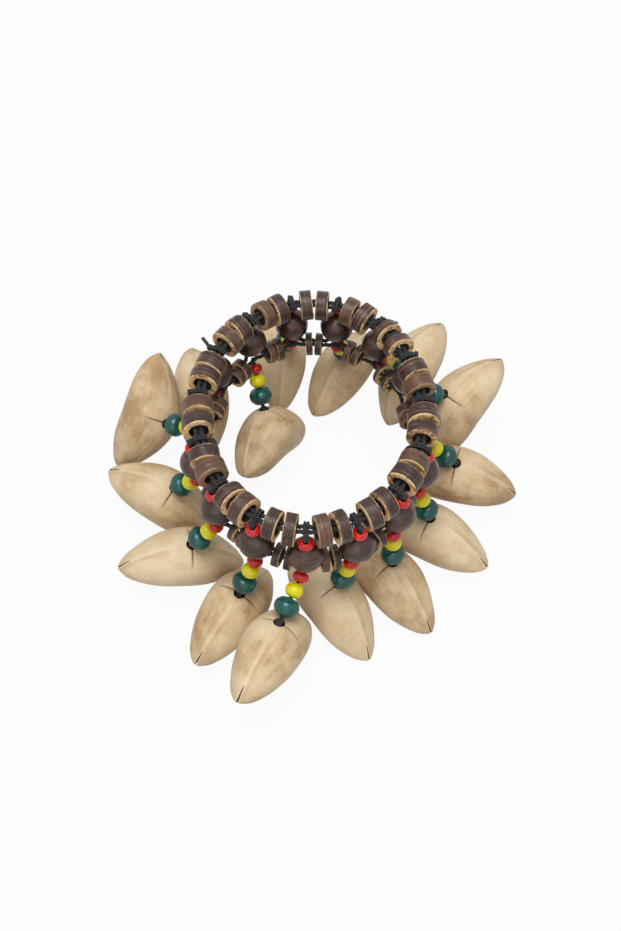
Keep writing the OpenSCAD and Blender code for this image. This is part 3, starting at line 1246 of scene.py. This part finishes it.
@dataclass
class Band:
    """The wrist band: elastic cords, shell rings, brown and red beads and the knots on top."""

    shop: Workshop
    ring: RingShape = RingShape(9.2, 4.6, 3.5)
    ring_sag: float = 0.8
    low_ring: RingShape = RingShape(7.4, 3.8, 2.2)
    low_ring_sag: float = 0.8
    ring_lean: float = 4.5
    ring_yaw: float = 2.0
    pair_yaw: float = 8.0
    ring_widths: Span = (0.94, 1.0)
    ring_swell: Span = (1.0, 1.16)
    ring_uneven: Unevenness = Unevenness(0.5, 260.0)
    brown: BeadShape = BeadShape(10.4, 10.4, sides=56, arc_steps=32)
    brown_uneven: Unevenness = Unevenness(0.9, 130.0)
    top_red: BeadShape = BeadShape(4.2, 3.2)
    red_uneven: Unevenness = Unevenness(0.12, 400.0)
    bead_seed: float = 5.0
    wrap_d: float = 0.8
    wrap_steps: int = 32
    tie_steps: int = 40
    tail_l: float = 4.4
    tails: tuple[tuple[int, float, float], ...] = ((2, -45, 90), (13, -30, 65), (14, 50, 95))
    elastic_lay: float = 5.0

    def build(self) -> None:
        """Makes and dresses all of the band's pieces."""
        self.build_elastic()
        self.build_rings()
        self.build_beads()
        self.build_station_cords()
        self.build_wraps()
        self.build_tie_knots()

    def build_elastic(self) -> None:
        """Lays the two strands of each elastic cord."""
        layout = self.shop.layout
        for level, upper in (("upper", True), ("lower", False)):
            for side_name, side in (("inner", -1), ("outer", 1)):
                name = f"{level}_strand_{side_name}"
                strand = [layout.strand(upper, side)]
                finish = self.shop.elastic_finish
                piece = self.shop.lay_cord(name, strand, layout.strand_d, finish, self.elastic_lay)
                hand_over(piece, BAND_BODY, Slot.ELASTIC, f"{level}_elastic_{side_name}")

    def build_rings(self) -> None:
        """Sets the rings on both cords."""
        layout = self.shop.layout
        upper_z = layout.cord_height - self.ring_sag
        lower_z = layout.lower_z - self.low_ring_sag
        rows = (
            ("upper_rings", self.ring, 0.0, upper_z, self.pair_yaw, "upper_shell_rings", 3.0),
            ("lower_rings", self.low_ring, -layout.low_ring_inset, lower_z, 0.0, "lower_shell_rings", 8.0),
        )
        for name, shape, out, z, pair_yaw, node, seed in rows:
            places = []
            sizes = []
            for k, (place, thickness) in enumerate(layout.ring_places(shape, out, z)):
                lean = turned(spread(k, Scatter.SPIN, -self.ring_lean, self.ring_lean), "X")
                yaw = turned(spread(k, Scatter.TONE, -self.ring_yaw, self.ring_yaw), "Y")
                aside = turned(spread(k // 2, Scatter.WIDTH, -pair_yaw, pair_yaw), "Y")
                places.append(place @ aside @ lean @ yaw)
                width = spread(k, Scatter.WIDTH, *self.ring_widths)
                sizes.append((width, width, thickness * spread(k, Scatter.THICKNESS, *self.ring_swell)))
            finish = self.shop.coconut_finish
            mesh = shape.make(f"{name}_ring")
            piece = self.shop.set_row(name, mesh, places, finish, self.ring_uneven, seed, sizes)
            hand_over(piece, BAND_BODY, Slot.COCONUT, node)

    def build_beads(self) -> None:
        """Sets the brown beads and the red beads on top."""
        layout, wood, red = self.shop.layout, self.shop.wood_finish, self.shop.red_finish
        top = layout.top_bead_at
        rows = (
            ("brown_ball", self.brown, 0.0, wood, self.brown_uneven, Slot.BROWN_WOOD, "brown_beads"),
            ("top_bead", self.top_red, top, red, self.red_uneven, Slot.RED_BEAD, "top_red_beads"),
        )
        for name, shape, along, finish, uneven, slot, node in rows:
            places = [layout.at_column(i, along) for i in range(STATIONS)]
            piece = self.shop.set_row(f"{name}s", shape.make(name), places, finish, uneven, self.bead_seed)
            hand_over(piece, BAND_BODY, slot, node)

    def build_wraps(self) -> None:
        """Winds each station's cord twice round the upper strands."""
        layout = self.shop.layout
        height = (layout.strand_d + self.wrap_d) / 2 + layout.strand_clear
        width = layout.strand_pitch / 2 + height
        lines = []
        for i in range(STATIONS):
            place = layout.at_loop(layout.station_angle(i), 0.0, layout.cord_height)
            for shift in (-self.wrap_d / 2, self.wrap_d / 2):
                lines.append(hoop(place, width, height, shift, self.wrap_steps))
        piece = self.shop.lay_cord("station_wraps", lines, self.wrap_d, self.shop.cord_finish)
        hand_over(piece, BAND_BODY, Slot.CORD)

    def build_station_cords(self) -> None:
        """Lays each station's cord with its knot on the red bead, and the cut tails that show."""
        layout = self.shop.layout
        knot_at = layout.top_knot_at
        foot = -(layout.pivot_at - layout.cord_d)
        width = layout.top_knot_d - layout.cord_d
        lines = []
        for i in range(STATIONS):
            knot = layout.at_column(i, knot_at)
            lines.append(Line((layout.at_column(i, foot).translation, knot.translation)))
            spin = turned(spread(i, Scatter.SPIN, 0, 360), "Z")
            lines.append(trefoil(knot @ spin, width * MM, width * MM))
        for station, azimuth, slope in self.tails:
            lines.append(self.tail(layout.at_column(station, knot_at) @ turned(azimuth, "Z"), slope))
        piece = self.shop.lay_cord("station_knots", lines, layout.cord_d, self.shop.cord_finish)
        hand_over(piece, BAND_BODY, Slot.CORD, "station_cords")

    def tail(self, place: Matrix, slope: float) -> Line:
        """A cut cord end that leaves its knot and droops.

        Args:
            place: The knot, with the tail's way out along X.
            slope: Angle of the tail from the knot's lead.

        Returns:
            The tail's line.
        """
        steps = 6
        droop = 0.25
        way = turned(slope, "Y") @ Vector((0, 0, 1))
        points = []
        for k in range(steps + 1):
            share = k / steps
            drop = Vector((0, 0, -droop * self.tail_l * share * share))
            points.append(place @ ((way * self.tail_l * share + drop) * MM))
        return Line(tuple(points))

    def build_tie_knots(self) -> None:
        """Winds the knots that close the elastic cords."""
        layout = self.shop.layout
        radius = (layout.strand_pitch + layout.strand_d + layout.tie_knot_t) / 2 + layout.strand_clear
        angle = layout.station_angle(layout.tie_station) + layout.pitch / 2
        levels = (("upper", 0.0, layout.cord_height), ("lower", -layout.low_ring_inset, layout.lower_z))
        for level, out, z in levels:
            winding = [hoop(layout.at_loop(angle, out, z), radius, radius, 0.0, self.tie_steps)]
            finish = self.shop.elastic_finish
            piece = self.shop.lay_cord(f"{level}_tie", winding, layout.tie_knot_t, finish)
            hand_over(piece, BAND_BODY, Slot.ELASTIC, f"{level}_tie_knot")


@dataclass(frozen=True)
class NutShape:
    """A hollow nutshell in its own frame, in millimetres: X along its lobes, Z out of its crown."""

    length: float = 37.0
    height: float = 17.6
    width: float = 17.2
    wall: float = 1.2
    fall: float = 0.75
    toe: float = 0.16
    arch: float = 0.6
    arch_end: float = 0.5
    top_fullness: float = 1.9
    plan_fullness: float = 2.2
    plan_narrowing: float = 0.78
    tip_walls: float = 2.2
    tip_start: float = 0.85
    ridge: float = 0.16
    ridge_width: float = 4.5
    ridge_start: float = 0.12
    ridge_rise: float = 0.3
    ridge_end: float = 0.08
    crease_depth: float = 0.4
    crease_width: float = 0.22
    crease_end: float = 56.0
    crease_fade: float = 25.0
    lumps: float = 0.4
    lump_length: float = 9.0
    lump_turn: float = 1.2
    lump_fade: float = 3.0
    seed_step: float = 7.3
    hole_d: float = 3.2
    hole_sides: int = 20
    outer_split: Span = (0.6, 2.6)
    inner_split: Span = (0.5, 1.2)
    split_end: float = 0.08
    sharp_angle: float = 50.0
    rows: int = 34
    crease_rows: tuple[float, ...] = (0.1, 0.22, 0.4, 0.8)
    crease_clear: float = 1.3
    sides: int = 40
    seam_turns: Span = (2.2, 4.5)
    seam_clear: float = 6.0
    hollow_rows: int = 18
    hollow_sides: int = 20

    def shares(self) -> list[float]:
        """Places of the sections along the half-length, closer at the crease and the tips.

        Returns:
            Shares from -1 to 1, in order.
        """
        half = self.length / 2
        crease = [side * x / half for x in self.crease_rows for side in (-1, 1)]
        keep = [s for s in eased(self.rows) if abs(s) > self.crease_clear / half]
        return sorted(keep + crease + [0.0])

    def turns(self) -> list[float]:
        """Angles round a section, closer at the seam.

        Returns:
            Degrees from 90 to 450, in order.
        """
        plain = [90 + 360 * k / self.sides for k in range(self.sides)]
        seam = [90 + side * a for a in self.seam_turns for side in (-1, 1)]
        keep = [a for a in plain if a == 90 or self.seam_clear < a - 90 < 360 - self.seam_clear]
        return sorted(a if a >= 90 else a + 360 for a in keep + seam)

    def section(self, share: float, wall: float) -> tuple[float, float, float]:
        """One section across a lobe.

        Args:
            share: Place along the half-length, from -1 to 1.
            wall: 0 for the outside, or the wall that lies outside it.

        Returns:
            Half-width, half-height and height of the section's middle.
        """
        s = abs(share) * (self.length / 2 - self.tip_walls * wall) / (self.length / 2)
        cap = 1.0
        if s > self.tip_start:
            cap = math.sqrt(max(0.0, 1 - ((s - self.tip_start) / (1 - self.tip_start)) ** 2))
        top = -self.fall * self.height * s**self.top_fullness - wall
        if s < self.arch_end:
            base = -self.height + self.arch * (1 - (s / self.arch_end) ** 2) ** 2
        else:
            base = -self.height + self.toe * self.height * ((s - self.arch_end) / (1 - self.arch_end)) ** 2
        base += wall
        half_w = self.width / 2 * (1 - self.plan_narrowing * s**self.plan_fullness) - wall
        return half_w * cap, (top - base) / 2 * cap, (top + base) / 2 + self.wall / 2

    def skin(self, seed: float) -> Surface:
        """The outside with its seam ridge, its crease and gentle lumps.

        Args:
            seed: Sets this nutshell's lumps apart from the others'.

        Returns:
            Points in millimetres and faces.
        """
        turns = self.turns()
        points = [self.tip(-1, 0.0)]
        for share in self.shares():
            half_w, half_h, middle = self.section(share, 0.0)
            x = share * self.length / 2
            for turn in turns:
                a = math.radians(turn)
                from_top = abs((turn - 90 + 180) % 360 - 180)
                grow = self.relief(x, share, from_top)
                y, z = math.cos(a) * self.lump_turn, math.sin(a) * self.lump_turn
                lump = noise.noise(Vector((x / self.lump_length, y, seed + z)))
                grow += self.lumps * (0.5 * lump - 0.5) * min(1.0, half_w / self.lump_fade)
                points.append((x, (half_w + grow) * math.cos(a), middle + (half_h + grow) * math.sin(a)))
        points.append(self.tip(1, 0.0))
        return np.array(points), tube_faces(len(self.shares()), len(turns))

    def relief(self, x: float, share: float, from_top: float) -> float:
        """Height of the seam ridge less the depth of the crease.

        Args:
            x: Place along the nutshell.
            share: The same as a share of the half-length.
            from_top: Degrees from the seam.

        Returns:
            Height over the plain surface.
        """
        fade = rise(abs(share), self.ridge_start, self.ridge_rise) * rise(1 - abs(share), 0, self.ridge_end)
        ridge = self.ridge * math.exp(-((from_top / self.ridge_width) ** 2)) * fade
        reach = rise(self.crease_end - from_top, 0, self.crease_fade)
        crease = self.crease_depth * math.exp(-((x / self.crease_width) ** 2)) * reach
        return ridge - crease

    def hollow(self) -> Surface:
        """The inside of the wall, as points in millimetres and faces.

        Returns:
            Points and faces.
        """
        shares = eased(self.hollow_rows)
        reach = self.length / 2 - self.tip_walls * self.wall
        points = [self.tip(-1, self.wall)]
        for share in shares:
            half_w, half_h, middle = self.section(share, self.wall)
            for a in round_steps(self.hollow_sides):
                points.append((share * reach, half_w * math.cos(a), middle + half_h * math.sin(a)))
        points.append(self.tip(1, self.wall))
        return np.array(points), tube_faces(len(shares), self.hollow_sides)

    def tip(self, side: int, wall: float) -> tuple[float, float, float]:
        """The end point of a lobe."""
        reach = self.length / 2 - self.tip_walls * wall
        return side * reach, 0.0, self.section(1.0, wall)[2]

    def split(self, side: int, width: float, length: float) -> Surface:
        """A wedge that opens a lobe's tip, wide outside and closing inwards.

        Args:
            side: 1 for the outer lobe and -1 for the inner.
            width: Width at the tip.
            length: Length from the tip inwards.

        Returns:
            Points in millimetres and faces.
        """
        start, end = self.length / 2 - length, self.length / 2 + 1
        thin = self.split_end
        corners = ((start, -thin), (start, thin), (end, width / 2), (end, -width / 2))
        points = [(side * x, y, z) for z in (-self.height - 1, 1.0) for x, y in corners]
        faces = [[0, 1, 2, 3], [7, 6, 5, 4], [0, 4, 5, 1], [1, 5, 6, 2], [2, 6, 7, 3], [3, 7, 4, 0]]
        return np.array(points), faces


def tube_faces(sections: int, sides: int) -> list[list[int]]:
    """Faces of a row of closed sections between two end points.

    Args:
        sections: Number of sections.
        sides: Points of a section.

    Returns:
        The faces, wound one way.
    """
    last = sections * sides + 1
    faces = []
    for j in range(sides):
        after = (j + 1) % sides
        faces.append([0, 1 + after, 1 + j])
        for k in range(sections - 1):
            row, above = 1 + k * sides, 1 + (k + 1) * sides
            faces.append([row + j, row + after, above + after, above + j])
        top = 1 + (sections - 1) * sides
        faces.append([last, top + j, top + after])
    return faces


@dataclass
class Drop:
    """One drop: its cord, its three beads and its nutshell."""

    shop: Workshop
    index: int
    nut: NutShape = NutShape()
    red: BeadShape = BeadShape(4.5, 3.2)
    yellow: BeadShape = BeadShape(5.0, 4.2)
    green: BeadShape = BeadShape(7.0, 5.2)
    crown_knot_d: float = 2.5
    stop_knot_d: float = 3.8
    stop_knot_drop: float = 5.2
    bead_uneven: Unevenness = Unevenness(0.14, 300.0)
    seam_start: float = 0.15
    seam_rise: float = 0.3
    seam_width: float = 0.55
    # place and width of the painted shadow along one side of the seam ridge
    seam_shadow_at: float = 0.95
    seam_shadow_width: float = 0.4
    crease_blur: float = 0.07
    tip_start: float = 0.8

    @property
    def number(self) -> str:
        """The drop's number in its names."""
        return f"{self.index + 1:02d}"

    def build(self) -> None:
        """Makes and dresses the drop's pieces."""
        self.build_cord()
        self.build_beads()
        self.build_nut()

    def build_cord(self) -> None:
        """Lays the cord with the knot in the crown hole and the stop knot inside."""
        layout = self.shop.layout
        end = layout.nut_at + self.stop_knot_drop
        lines = [Line(tuple(layout.along_string(self.index, along).translation for along in (0, end)))]
        for along, size in ((layout.nut_at, self.crown_knot_d), (end, self.stop_knot_d)):
            width = (size - layout.cord_d) * MM
            lines.append(trefoil(layout.along_string(self.index, along), width, width))
        name = f"drop_thread_{self.number}"
        piece = self.shop.lay_cord(name, lines, layout.cord_d, self.shop.cord_finish)
        hand_over(piece, f"string_{self.number}", Slot.CORD, f"drop_cord_{self.number}")

    def build_beads(self) -> None:
        """Threads the red, the yellow and the green bead."""
        layout = self.shop.layout
        beads = (
            ("red_bead", self.red, self.shop.red_finish, (f"drop_beads_{self.number}",)),
            ("yellow_bead", self.yellow, self.shop.yellow_finish, ()),
            ("green_bead", self.green, self.shop.green_finish, ()),
        )
        for (name, shape, finish, nodes), along in zip(beads, layout.bead_places):
            places = [layout.along_string(self.index, along)]
            bead = f"{name}_{self.number}"
            seed = float(self.index)
            piece = self.shop.set_row(bead, shape.make(name), places, finish, self.bead_uneven, seed)
            hand_over(piece, f"string_{self.number}", Slot.DROP_BEAD, *nodes)

    def build_nut(self) -> None:
        """Shapes the nutshell, opens its crown hole and its tips, and sets it in its place."""
        name = f"shell_{self.number}"
        body = self.two_part_mesh(name, self.nut.skin(self.nut.seed_step * self.index), self.nut.hollow())
        cutters = [
            self.cutter(*self.nut.split(1, *self.nut.outer_split)),
            self.cutter(*self.nut.split(-1, *self.nut.inner_split)),
            self.hole_cutter(),
        ]
        source = new_object(f"{name}_source", body)
        for cutter in cutters:
            cut = source.modifiers.new("cut", "BOOLEAN")
            cut.operation = "DIFFERENCE"
            cut.solver = "EXACT"
            cut.object = cutter
        mesh = plain_mesh(source)
        for thing in (source, *cutters):
            bpy.data.objects.remove(thing)
        self.mark(mesh)
        mesh.transform(self.shop.layout.at_nut(self.index))
        mesh.set_sharp_from_angle(angle=math.radians(self.nut.sharp_angle))
        piece = new_object(name, mesh)
        hand_over(piece, f"nut_{self.number}", Slot.NUTSHELL, f"nutshell_{self.number}")

    def dress_faces(self, mesh: Mesh, outside: int) -> None:
        """Gives a mesh both finishes: the first faces the outside's, and the rest the inside's.

        Args:
            mesh: The mesh.
            outside: How many of its faces lie outside.
        """
        for material in (self.shop.nut_finish, self.shop.hollow_finish):
            mesh.materials.append(material)
        for polygon in mesh.polygons[outside:]:
            polygon.material_index = 1

    def two_part_mesh(self, name: str, outside: Surface, inside: Surface) -> Mesh:
        """Joins the outside and the inside of a wall, each with its finish.

        Args:
            name: Name of the mesh.
            outside: Points in millimetres and faces of the outside.
            inside: The same of the inside.

        Returns:
            A hollow mesh.
        """
        shift = len(outside[0])
        points = np.vstack([outside[0], inside[0]]) * MM
        faces = outside[1] + [[shift + v for v in face[::-1]] for face in inside[1]]
        mesh = closed_mesh(name, points, faces)
        self.dress_faces(mesh, len(outside[1]))
        return mesh

    def cutter(self, points: np.ndarray, faces: list[list[int]]) -> Object:
        """A tool that leaves the inside finish on what it cuts.

        Args:
            points: Rows of three numbers, in millimetres.
            faces: Point numbers of each face.

        Returns:
            The tool.
        """
        mesh = closed_mesh("cutter", points * MM, faces)
        self.dress_faces(mesh, 0)
        return new_object("cutter", mesh)

    def hole_cutter(self) -> Object:
        """The drill of the crown hole.

        Returns:
            The tool.
        """
        sides, radius, reach = self.nut.hole_sides, self.nut.hole_d / 2, 3 * self.nut.wall
        ring = [(radius * math.cos(a), radius * math.sin(a)) for a in round_steps(sides)]
        points = [(x, y, z) for z in (-reach, reach) for x, y in ring]
        faces = [[k, (k + 1) % sides, sides + (k + 1) % sides, sides + k] for k in range(sides)]
        faces += [list(range(sides))[::-1], list(range(sides, 2 * sides))]
        return self.cutter(np.array(points), faces)

    def mark(self, mesh: Mesh) -> None:
        """Stores on the points what the finish reads: places, tone, seam, edge (painted shadow beside the
        seam ridge), crease (painted shade) and tips.

        Args:
            mesh: The nutshell in its own frame.
        """
        place = points_of(mesh) / MM
        x, y, z = place[:, 0], place[:, 1], place[:, 2]
        share = np.clip(x / (self.nut.length / 2), -1, 1)
        middles = np.array([self.nut.section(float(s), 0.0)[2] for s in share])
        lap = np.arctan2(y, z - middles) / (2 * math.pi)
        top = z > middles
        on_seam = top * rise(np.abs(share), self.seam_start, self.seam_rise)
        seam = np.exp(-((y / self.seam_width) ** 2)) * on_seam
        # edge: painted shadow along one side of the seam ridge
        edge = np.exp(-(((y - self.seam_shadow_at) / self.seam_shadow_width) ** 2)) * on_seam
        # crease: painted shade in the crease between the lobes
        to_crease_end = self.nut.crease_end / 360 - np.abs(lap)
        crease = np.exp(-((x / self.nut.crease_width) ** 2)) * rise(to_crease_end, 0, self.crease_blur)
        tip = rise(np.abs(share), self.tip_start, 1 - self.tip_start)
        tone = spread(self.index, Scatter.TONE, 0, 1)
        marks = {"along": share, "lap": lap, "seam": seam, "edge": edge, "crease": crease, "tip": tip,
                 "tone": np.full(len(x), tone)}
        for name, values in marks.items():
            carry(mesh, name, values)


@dataclass(frozen=True)
class Lamp:
    """A soft area lamp."""

    name: str
    place: Triple
    size: float
    power: float


@dataclass
class Studio:
    """The pale floor, the soft lights and the camera."""

    camera_place: Triple = (0.0, -0.1745, 0.2816)
    camera_pitch: float = 34.05
    lens: float = 42.0
    sensor: float = 36.0
    clip_start: float = 0.01
    floor_half: float = 1.5
    floor_white: float = 0.94
    floor_shade: Colour = tint(205, 205, 205)
    floor_rough: float = 0.9
    world_light: float = 0.28
    lamps: tuple[Lamp, ...] = (
        Lamp("key_lamp", (-0.04, -0.04, 0.8), 0.45, 4.8),
        Lamp("fill_lamp", (-0.1, -0.6, 0.45), 0.6, 1.1),
        Lamp("side_lamp", (0.5, -0.3, 0.5), 0.6, 0.45),
    )

    def build(self) -> None:
        """Sets up the stage."""
        bpy.context.scene.view_settings.view_transform = "Standard"
        self.build_camera()
        self.build_floor()
        self.build_world()
        for lamp in self.lamps:
            self.hang(lamp)

    def build_camera(self) -> None:
        """Puts the camera where the photograph was taken."""
        camera = bpy.data.cameras.new("photo_camera")
        camera.lens = self.lens
        camera.sensor_width = self.sensor
        camera.clip_start = self.clip_start
        thing = new_object("photo_camera", camera)
        thing.location = self.camera_place
        thing.rotation_euler = Euler((math.radians(self.camera_pitch), 0, 0))
        bpy.context.scene.camera = thing

    def build_floor(self) -> None:
        """Lays a white floor that keeps the object's shadow."""
        h = self.floor_half
        mesh = bpy.data.meshes.new("floor")
        mesh.from_pydata([(-h, -h, 0), (h, -h, 0), (h, h, 0), (-h, h, 0)], [], [[0, 1, 2, 3]])
        floor = new_object("floor", mesh)
        tree = ShaderTree("white_floor")
        mesh.materials.append(tree.dress(Base_Color=self.floor_shade, Roughness=self.floor_rough))
        glow = tree.out("ShaderNodeEmission", {"Strength": 1.0})
        share = tree.times(tree.seen(), self.floor_white)
        both = tree.out("ShaderNodeMixShader", {0: share, 1: tree.surface.outputs[0], 2: glow})
        tree.feed(tree.nodes["Material Output"].inputs["Surface"], both)

    def build_world(self) -> None:
        """Makes the world a soft light that is seen as white."""
        world = bpy.data.worlds.new("studio")
        bpy.context.scene.world = world
        world.use_nodes = True
        tree = NodeTree(world.node_tree)
        background = tree.nodes["Background"]
        tree.feed(background.inputs["Color"], tint(255, 255, 255))
        tree.feed(background.inputs["Strength"], tree.between(tree.seen(), (self.world_light, 1.0)))

    def hang(self, lamp: Lamp) -> None:
        """Hangs a lamp that looks at the object.

        Args:
            lamp: The lamp.
        """
        light = bpy.data.lights.new(lamp.name, "AREA")
        light.size = lamp.size
        light.energy = lamp.power
        thing = new_object(lamp.name, light)
        thing.location = lamp.place
        thing.rotation_euler = (-Vector(lamp.place)).to_track_quat("-Z", "Y").to_euler()


def main() -> None:
    """Builds the stage, the band and the drops in order."""
    logging.basicConfig(level=logging.INFO, format="%(name)s: %(message)s")
    Studio().build()
    shop = Workshop()
    Band(shop).build()
    for index in range(STATIONS):
        Drop(shop, index).build()


if __name__ == "__main__":
    main()
